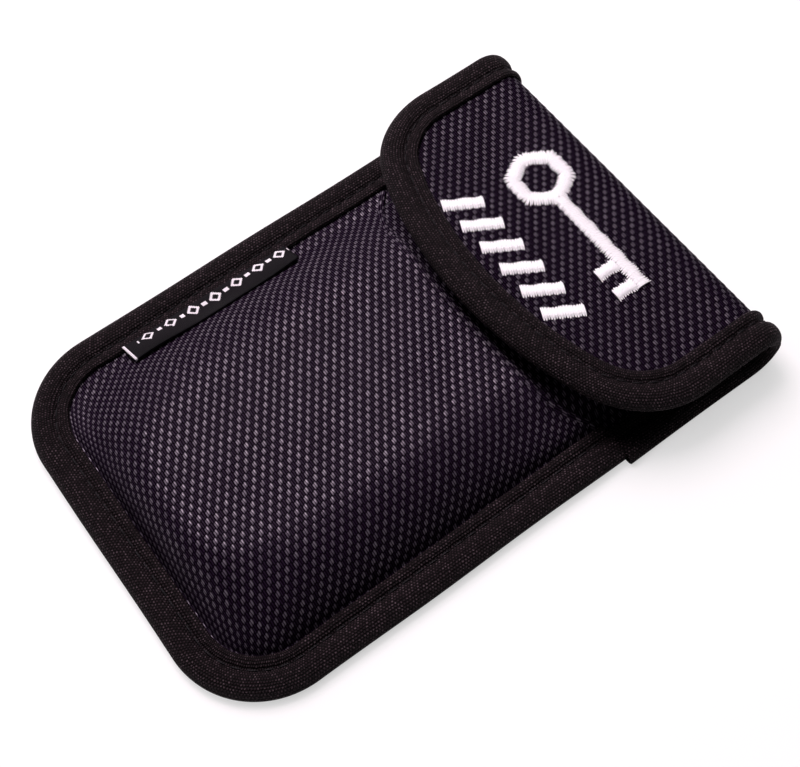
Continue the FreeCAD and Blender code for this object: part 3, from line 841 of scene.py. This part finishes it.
makeDividerLayer("dividerCloth", "ballistic_nylon", "divider_panel", depths=(0.0, 0.45),
                 half=43.0, lowY=-65.0, highY=pouch["keyMouthY"])
makeDividerLayer("dividerShield", "shielding_cloth", "divider_shield", depths=(0.56, 0.76),
                 half=34.0, lowY=-56.0, highY=pouch["keyMouthY"] - divider["tapeWidth"] - 0.1)
makeDividerTape()
print("divider made")


# The edge tapes


tape = {
    "thickness": 0.65, "groove": 5.5, "rollLift": 0.55, "lipLift": 0.3, "step": 0.7,
    # how uneven it is, as sizes and the lengths of their waves
    "full": (0.09, 23.0), "fullFine": (0.04, 9.0), "shift": (0.16, 31.0), "lip": (0.14, 12.0),
    "pucker": 0.1, "puckerPitch": 3.1,
}


def tapeProfile(top):
    # the folded tape's outer face, as distance in from the edge and height
    groove, lip, roll = tape["groove"], top + tape["lipLift"], top + tape["rollLift"]
    onLip = [(8.1, top - 0.62), (8.2, top - 0.2), (7.85, top + 0.16), (7.1, lip), (6.15, top - 0.04)]
    onRoll = [(groove, top - 0.55), (4.85, top), (3.9, top + 0.46), (2.6, roll), (1.3, top + 0.2)]
    onSide = [(0.42, top * 0.8), (0.0, top * 0.5), (0.3, top * 0.2)]
    below = [(1.1, 0.03), (2.4, 0.0), (4.2, 0.02), (5.0, 0.14), (groove, 0.3)]
    belowLip = [(6.1, 0.12), (7.0, 0.02), (7.8, 0.06), (8.05, 0.3), (8.0, 0.62)]
    knots = np.array(onLip + onRoll + onSide + below + belowLip)
    stations = np.arange(len(knots))
    fine = np.linspace(0, stations[-1], 3 * stations[-1] + 1)
    return stacked(*[throughPoints(fine, stations, part) for part in knots.T])


def tapeSections(length, top, seed):
    # the outer and inner face at one place, a little fuller, wider and more puckered here and there
    profile = tapeProfile(top)
    slope = np.gradient(profile, axis=0)
    slope /= np.linalg.norm(slope, axis=1)[:, None]
    inner = profile + stacked(-slope[:, 1], slope[:, 0]) * tape["thickness"]
    parts = ("full", 0.0, 0), ("fullFine", 3.0, 0), ("shift", 7.0, 1), ("lip", 5.0, 2)
    full, fullFine, shift, lip = [tape[part][0] * wander(length, across, tape[part][1], seed + turn)
                                  for part, across, turn in parts]
    full = full + fullFine
    pucker = tape["pucker"] * cos(2 * pi * length / tape["puckerPitch"])
    for face in (profile, inner):
        inset, height = face[:, 0], face[:, 1]
        bulge = np.clip(height - top, 0, None) * full * 2
        bulge += (height > top * 0.5) * pucker * np.exp(-((inset - tape["groove"]) / 1.1) ** 2)
        inset = inset + shift * np.clip(1 - inset / 5, 0, 1) + lip * smooth(inset, 5.5, 8)
        yield stacked(inset, height + bulge)


def makeTape(name, path, tops, toPlace, nodes, body, bend=None, flip=False, side=1, seed=0.0):
    # sweeps the tape's folded section along a path drawn in the cloth's own flat coordinates
    length = runLength(path)
    faces = [tapeSections(at, top, seed) for at, top in zip(length, tops)]
    outer, inner = [np.array(rows) for rows in zip(*faces)]
    section = np.concatenate([outer, inner[:, ::-1]], 1)
    flat = path[:, None] + sideWays(path, side)[:, None] * section[..., :1]
    rings = toPlace(flat[..., 0], flat[..., 1], section[..., 1])
    finishPiece(addFoldedStrip(name, rings, length, outer[0], flip), body, "edge_tape", nodes, bend)


def pocketPath(leftY, rightY):
    # down the left side, round the bottom and up the right side
    half, low, radius = pouch["halfWidth"], pouch["bottomY"], pouch["corner"]
    turn = np.linspace(0, pi / 2, int(radius * pi / 2 / tape["step"]) + 2)[:-1]
    down = np.arange(leftY, low + radius, -tape["step"])
    across = np.arange(-half + radius, half - radius, tape["step"])
    up = np.linspace(low + radius, rightY, int((rightY - low - radius) / tape["step"]) + 2)
    return np.concatenate([
        stacked(np.full_like(down, -half), down),
        stacked(-half + radius - radius * np.cos(turn), low + radius - radius * np.sin(turn)),
        stacked(across, np.full_like(across, low)),
        stacked(half - radius + radius * np.sin(turn), low + radius - radius * np.cos(turn)),
        stacked(np.full_like(up, half), up)])


def onFlap(x, run, height):
    return flapPoint(x, run, flap["total"] - height)


# tape heights, and the gap where a neck tape meets the pocket's tape
pocketTop, neckTop, lapGap = 3.14, 2.58, 0.06
lapY = [round(nodeBox("neck_binding_" + side)[0][1], 2) for side in ("left", "right")]


def makeNeckTape(name, side, endY, nodes, seed):
    # from the middle of the fold down the neck, thinner once it is past the roll
    run = np.linspace(0, fromFoldLine(endY), int(fromFoldLine(endY) / tape["step"]) + 1)
    path = stacked(np.full_like(run, side * flap["half"]), run)
    tops = flap["total"] + (neckTop - flap["total"]) * smooth(run, 2.0, rollLength + 2)
    makeTape(name, path, tops, backPoint, nodes, "pouch", lowerBend, flip=side < 0, side=side, seed=seed)


pocketEdge = pocketPath(lapY[0] - lapGap, lapY[1] - lapGap)
pocketTops = [pocketTop] * len(pocketEdge)
makeTape("pocketTape", pocketEdge, pocketTops, stacked, ["pocket_binding"], "pouch", seed=0.3)
makeNeckTape("neckTapeLeft", -1, lapY[0], ["neck_binding_left", "fold_binding_left"], seed=2.1)
makeNeckTape("neckTapeRight", 1, lapY[1], ["neck_binding_right", "fold_binding_right"], seed=3.4)
flapEdge = flapEdgePath(tape["step"])
flapTops = [flap["total"]] * len(flapEdge)
makeTape("flapTape", flapEdge, flapTops, onFlap, ["flap_binding"], "flap", upperBend, side=-1, seed=5.2)
print("edge tapes made")


# Threads


def makeThreads(name, lines, radius, sides=6, flatten=1.0):
    # round threads along many short lines of the same number of points, closed at both ends
    lines = np.asarray(lines, float)
    count, steps = lines.shape[:2]
    ahead = np.gradient(lines, axis=1)
    ahead /= np.linalg.norm(ahead, axis=2)[..., None]
    across = np.cross(ahead, (0, 0, 1.0))
    across /= np.maximum(np.linalg.norm(across, axis=2)[..., None], 1e-9)
    lift = np.cross(across, ahead) * flatten
    turn = np.arange(sides) * 2 * pi / sides
    taper = np.sqrt(np.clip(1 - np.abs(np.linspace(-1, 1, steps)) ** 6, 0.12, 1)) * radius
    around = across[:, :, None] * np.cos(turn)[:, None] + lift[:, :, None] * np.sin(turn)[:, None]
    rings = lines[:, :, None] + around * taper[None, :, None, None]
    starts = np.arange(count) * steps * sides
    faces = (gridFaces(steps, sides, None, True)[None] + starts[:, None, None]).reshape(-1, 4)
    caps = []
    for first in starts.tolist():
        last = first + (steps - 1) * sides
        caps += [[first + j for j in range(sides)], [last + sides - 1 - j for j in range(sides)]]
    length = np.array([runLength(line) for line in lines])
    cloth = stacked(np.repeat(length.ravel(), sides), np.tile(turn * radius, count * steps))
    return addMesh(name, rings.reshape(-1, 3), faces.tolist() + caps, {"clothMap": cloth})


stitch = {"pitch": 3.1, "length": 2.4, "radius": 0.17, "sink": 0.3, "below": 0.32, "start": 1.0}


def makeStitches(name, path, side, toPlace, top, body, node, bend=None):
    # a row of stitches along the tape's groove, each pulled into the tape at both its ends
    line = path + sideWays(path, side) * tape["groove"]
    length = runLength(line)
    bow = np.linspace(-1, 1, 7)
    lines = []
    for start in np.arange(stitch["start"], length[-1] - stitch["length"] - stitch["start"], stitch["pitch"]):
        at = start + (bow + 1) / 2 * stitch["length"]
        x, y = [np.interp(at, length, line[:, k]) for k in (0, 1)]
        lines.append(toPlace(x, y, top - stitch["below"] - stitch["sink"] * np.abs(bow) ** 3))
    finishPiece(makeThreads(name, lines, stitch["radius"]), body, "black_thread", [node], bend)


makeStitches("pocketStitches", pocketEdge, 1, stacked, pocketTop, "pouch", "pocket_stitching")
makeStitches("flapStitches", flapEdge, -1, onFlap, flap["total"], "flap", "flap_stitching", upperBend)
print("stitching made")


# The hook and loop closure


patchLow, patchHigh = nodeBox("loop_patch")
patch = {
    "half": round(patchHigh[0], 1), "lowY": round(patchLow[1], 1), "highY": round(patchHigh[1], 1),
    "loopFloor": round(patchLow[2], 2), "hookDepth": 2.5, "corner": 2.0, "base": 0.45, "lump": 0.05,
}
loops = {"pitch": (1.15, 1.15), "margin": 0.9, "height": 1.0, "reach": 0.42, "radius": 0.07}
hooks = {"pitch": (1.4, 1.1), "margin": 1.0, "height": 0.8, "reach": 0.2, "radius": 0.11}


def onDivider(x, y, up):
    return stacked(x, y, patch["loopFloor"] + up)


def underFlap(x, y, down):
    return flapPoint(x, fromFoldLine(y), patch["hookDepth"] + down)


def patchPlaces(look):
    # the places of the pile, numbered row by row
    xs, ys = [np.arange(low + look["margin"], high - look["margin"] + 0.01, pitch) for low, high, pitch in (
        (-patch["half"], patch["half"], look["pitch"][0]), (patch["lowY"], patch["highY"], look["pitch"][1]))]
    return enumerate((x, y) for y in ys for x in xs)


def makePatch(name, toPlace, turned, lines, look, body, nodes, material=None):
    # a woven base with rounded corners, a little lumpy from the roots of the threads that stand on it
    middleY, halfY = (patch["lowY"] + patch["highY"]) / 2, (patch["highY"] - patch["lowY"]) / 2
    x, y = np.meshgrid(np.linspace(-patch["half"], patch["half"], 97), np.linspace(-halfY, halfY, 33))
    coreX = np.clip(x, patch["corner"] - patch["half"], patch["half"] - patch["corner"])
    coreY = np.clip(y, patch["corner"] - halfY, halfY - patch["corner"])
    pull = np.minimum(patch["corner"] / np.maximum(np.hypot(x - coreX, y - coreY), 1e-6), 1.0)
    x, y = coreX + (x - coreX) * pull, middleY + coreY + (y - coreY) * pull
    lump = patch["lump"] * np.sin(x * 2.9) * np.sin(y * 3.3)
    top, low = [toPlace(x, y, height).reshape(-1, 3) for height in (patch["base"] + lump, 0 * x)]
    faces = gridFaces(*x.shape)
    faces, points = closeSheet(faces[:, ::-1] if turned else faces, top, low)
    sheet = addMesh(name, points, faces, {"clothMap": np.tile(flatMap(x, y), (2, 1))})
    pile = makeThreads(name + "Pile", lines, look["radius"], 5)
    with bpy.context.temp_override(active_object=sheet, selected_editable_objects=[sheet, pile]):
        bpy.ops.object.join()
    finishPiece(sheet, body, "hook_and_loop", nodes, material=material)


def makeLoopPatch():
    lines = []
    arc = np.linspace(-0.15, pi + 0.15, 9)
    for k, (x, y) in patchPlaces(loops):
        turn = 2.4 * k + 0.7 * sin(3.1 * k)
        reach = loops["reach"] + 0.12 * sin(5.3 * k)
        tall = loops["height"] * (0.72 + 0.26 * sin(1.9 * k + 0.4))
        px = x + reach * np.cos(arc) * cos(turn) + 0.14 * np.sin(arc) * sin(turn)
        py = y + reach * np.cos(arc) * sin(turn) - 0.14 * np.sin(arc) * cos(turn)
        lines.append(onDivider(px, py, patch["base"] - 0.06 + tall * np.clip(np.sin(arc), -0.1, 1)))
    makePatch("loopPatch", onDivider, False, lines, loops, "pouch", ["loop_patch"])


def makeHookPatch():
    lines = []
    arc = np.linspace(0, pi * 1.15, 6)
    up = np.concatenate([[0, 0.5], 0.55 + 0.22 * np.sin(arc)]) * hooks["height"]
    for k, (x, y) in patchPlaces(hooks):
        out = np.concatenate([[0, 0], hooks["reach"] * (1 - np.cos(arc))]) * (1 if (k // 3) % 2 else -1)
        lines.append(underFlap(x + out, np.full_like(out, y), patch["base"] - 0.04 + up))
    makePatch("hookPatch", underFlap, True, lines, hooks, "flap", ["hook_patch"], hookPlastic)


makeLoopPatch()
makeHookPatch()
print("closure made")


# The folded label in the left seam


labelHinge = next(joint for joint in frame["joints"] if joint["name"] == "label_hinge")["pos_m"]
labelLow, labelHigh = nodeBox("side_label")
label = {
    "startX": labelHinge[0] / mm + 0.6, "startY": labelLow[1], "startZ": labelHinge[2] / mm,
    "length": labelHigh[1] - labelLow[1],
    "reach": 5.4, "half": 0.4, "ply": 0.3, "lean": 14.0, "leanEase": 2.0, "slant": 0.12, "bow": 0.4,
}


def makeSideLabel():
    # a ribbon folded on itself lengthwise, standing out of the seam and leaning on the pocket
    straight = label["reach"] - label["half"]
    along = np.linspace(0, straight, 12)
    outer, inner = [foldedLine(along, straight, half, 0, half, halfTurn[1:-1])
                    for half in (label["half"], label["half"] - label["ply"])]
    section = np.array(outer + inner[::-1])
    share = np.linspace(0, 1, 83)
    lean = np.radians(label["lean"] + label["leanEase"] * np.sin(2.2 * pi * share + 0.6))[:, None]
    droop = 1 - 0.03 * np.cos(5 * share) - 0.02 * np.sin(13 * share)
    out = section[None, :, 0] * droop[:, None]
    bow = np.sin(pi * np.clip(out / label["reach"], 0, 1)) * np.sin(3 * pi * share)[:, None]
    up = section[None, :, 1] + label["bow"] * bow
    y = np.repeat((label["startY"] + label["length"] * share)[:, None], len(section), 1)
    rings = stacked(label["startX"] + out * np.cos(lean) - up * np.sin(lean), y + label["slant"] * out,
                    label["startZ"] + out * np.sin(lean) + up * np.cos(lean))
    piece = addFoldedStrip("sideLabel", rings, label["length"] * share, outer, flip=True)
    finishPiece(piece, "label", "label_satin", ["side_label"])


makeSideLabel()
print("label made")


# The embroidery: a plain key with a six-sided bow over a row of slanted bars


artLow, artHigh = nodeBox("embroidery")
embroidery = {
    "pitch": 0.27, "radius": 0.2, "arch": 0.4, "ragged": 0.28, "slant": 0.9,
    "keyY": pouch["foldY"] - 16.0, "bowX": -12.5, "bowRadius": 6.1, "bowWidth": 3.4,
    "stemGap": 0.5, "stemWidth": 3.2, "right": round(artHigh[0], 1),
    "bitWidth": 3.0, "bitLength": 4.8, "bitTop": 1.4, "bitPlaces": (0.5, 2.4),
    "barY": round(artLow[1], 1), "barRise": 8.0, "barLean": 4.0, "barPitch": 6.6, "barLeft": -18.4, "bars": 6,
}


def satinStroke(points, width, closed=False):
    # threads laid side by side across a stroke, a little ragged at its edges
    points = np.asarray(points, float)
    if closed:
        points = np.concatenate([points, points[:1]])
    length = runLength(points)
    lines = []
    for k, at in enumerate(np.arange(embroidery["pitch"] / 2, length[-1], embroidery["pitch"])):
        before, middle, after = [np.array([np.interp(here, length, part) for part in points.T])
                                 for here in (at - embroidery["slant"], at, at + embroidery["slant"])]
        ahead = (after - before) / np.linalg.norm(after - before)
        across = np.array([-ahead[1], ahead[0]])
        jags = [embroidery["ragged"] * (0.5 * sin(a * k + b) + 0.5 * sin(c * k + d))
                for a, b, c, d in ((7.3, 0, 3.1, 1), (5.9, 2, 2.3, 0))]
        skew = ahead * embroidery["pitch"] * (0.25 if k % 2 else -0.25)
        start = middle - across * (width / 2 + jags[0]) - skew
        stop = middle + across * (width / 2 + jags[1]) + skew
        t = np.linspace(0, 1, 8)[:, None]
        flat = start + (stop - start) * t
        rise = embroidery["arch"] * (1 - np.abs(2 * t[:, 0] - 1) ** 2.6) + 0.03 * sin(4.7 * k)
        lines.append(flapPoint(flat[:, 0], fromFoldLine(flat[:, 1]), flap["clothDepth"] - 0.05 - rise))
    return lines


def makeStitchedKey():
    art = embroidery
    keyY, radius = art["keyY"], art["bowRadius"]
    corners = np.arange(6) * pi / 3
    bow = stacked(art["bowX"] + radius * np.cos(corners), keyY + radius * np.sin(corners))
    lines = satinStroke(bow, art["bowWidth"], closed=True)
    stemX = art["bowX"] + radius + art["stemGap"]
    lines += satinStroke([(stemX, keyY), (art["right"], keyY)], art["stemWidth"])
    for place in art["bitPlaces"]:
        x, bitY = art["right"] - art["bitWidth"] * place, keyY - art["bitTop"]
        lines += satinStroke([(x, bitY), (x, bitY - art["bitLength"])], art["bitWidth"])
    lowY, highY = art["barY"], art["barY"] + art["barRise"]
    for x in art["barLeft"] + art["barPitch"] * np.arange(art["bars"]):
        lines += satinStroke([(x, lowY), (x + art["barLean"], highY)], art["bitWidth"])
    piece = makeThreads("stitchedKey", lines, art["radius"], flatten=0.8)
    finishPiece(piece, "flap", "white_thread", ["embroidery"])
    print("embroidery made with", len(lines), "threads")


makeStitchedKey()


# Camera and studio


camera = {
    "azimuth": -31.07, "elevation": 62.92, "distance": 280.7, "target": (3.39, 1.83, 0.0), "roll": -5.79,
    "lens": 60.86, "sensor": 36.0, "nearest": 10.0,
}
studio = {
    "key": {"azimuth": 171, "elevation": 58, "distance": 730, "size": 420, "power": 7.5, "tint": "FFF3FA"},
    "fill": {"azimuth": -45, "elevation": 45, "distance": 1000, "size": 800, "power": 0.15, "tint": "FFFFFF"},
    # a wide softbox overhead that lights the paper alone, for the soft shadow round the pouch
    "paper": {"azimuth": 178, "elevation": 60, "distance": 600, "size": 1100, "power": 9.0, "tint": "FFFFFF"},
    "ambient": 0.04,  # plain light from all around
    "mirrored": 0.03,  # what gloss sees of the white room
}
floor = {"half": 1500.0, "level": -0.1, "seen": "FBF6F8", "bounce": "AFABAD", "glow": 0.76, "glowShare": 0.72}


def placeAround(name, data, look):
    # puts a lamp or the camera at its distance from what it faces
    azimuth, elevation = radians(look["azimuth"]), radians(look["elevation"])
    level = cos(elevation)
    outward = Vector((cos(azimuth) * level, sin(azimuth) * level, sin(elevation)))
    placed = bpy.data.objects.new(name, data)
    scene.collection.objects.link(placed)
    placed.location = (Vector(look.get("target", (0, 0, 0))) + outward * look["distance"]) * mm
    roll = Quaternion((0, 0, 1), radians(look.get("roll", 0)))
    placed.rotation_euler = (outward.to_track_quat("Z", "Y") @ roll).to_euler()
    return placed


def addCamera():
    data = bpy.data.cameras.new("camera")
    data.lens = camera["lens"]
    data.sensor_width = camera["sensor"]
    data.sensor_fit = "HORIZONTAL"
    data.clip_start = camera["nearest"] * mm
    scene.camera = placeAround("camera", data, camera)


def addLamp(name, look):
    lamp = bpy.data.lights.new(name, "AREA")
    lamp.color = fromHex(look["tint"])[:3]
    lamp.size = look["size"] * mm
    lamp.energy = look["power"]
    return placeAround(name, lamp, look)


def seenStraight(add):
    # 1 for what the camera sees, through glass as well, and 0 for all other light; with the light path itself
    path = add("LightPath")
    return add("Math.MAXIMUM", [path.outputs["Is Camera Ray"], path.outputs["Is Transmission Ray"]]), path


def addRoom():
    # a white room to the camera and through glass, and a dim even light to everything else
    world = bpy.data.worlds.new("studio")
    scene.world = world
    world.use_nodes = True
    world.node_tree.nodes.clear()
    add = partial(addNode, world.node_tree)
    seen, path = seenStraight(add)
    gloss = add("MapRange", [path.outputs["Is Glossy Ray"], 0.0, 1.0, studio["ambient"], studio["mirrored"]])
    add("OutputWorld", [add("Background", ["FFFFFF", add("Math.MAXIMUM", [seen, gloss])])])


def addFloor():
    # matt background paper, lifted towards white for the camera, so that only the shadow shows
    material, add = startMaterial("background paper, matt")
    seen, _ = seenStraight(add)
    # to the light that it throws back onto the pouch the paper is duller, as its extra lamp lights it alone
    shade = add("Mix", [seen, floor["bounce"], floor["seen"]], data_type="RGBA")
    paper = add("BsdfDiffuse", {"Color": shade, "Roughness": 0.3})
    glow = add("Emission", {"Color": "FFFFFF", "Strength": floor["glow"]})
    share = add("Math.MULTIPLY", [seen, floor["glowShare"]])
    add("OutputMaterial", [add("MixShader", [share, paper, glow])])
    half, level = floor["half"], floor["level"]
    corners = [(-half, -half, level), (half, -half, level), (half, half, level), (-half, half, level)]
    piece = addMesh("floor", corners, [[0, 1, 2, 3]], shade=False)
    piece.data.materials.append(material)
    return piece


addCamera()
addRoom()
addLamp("keyLight", studio["key"])
addLamp("fillLight", studio["fill"])
paperOnly = bpy.data.collections.new("paperOnly")
paperOnly.objects.link(addFloor())
addLamp("paperLight", studio["paper"]).light_linking.receiver_collection = paperOnly
scene.view_settings.view_transform = "Standard"
print("camera and studio made")
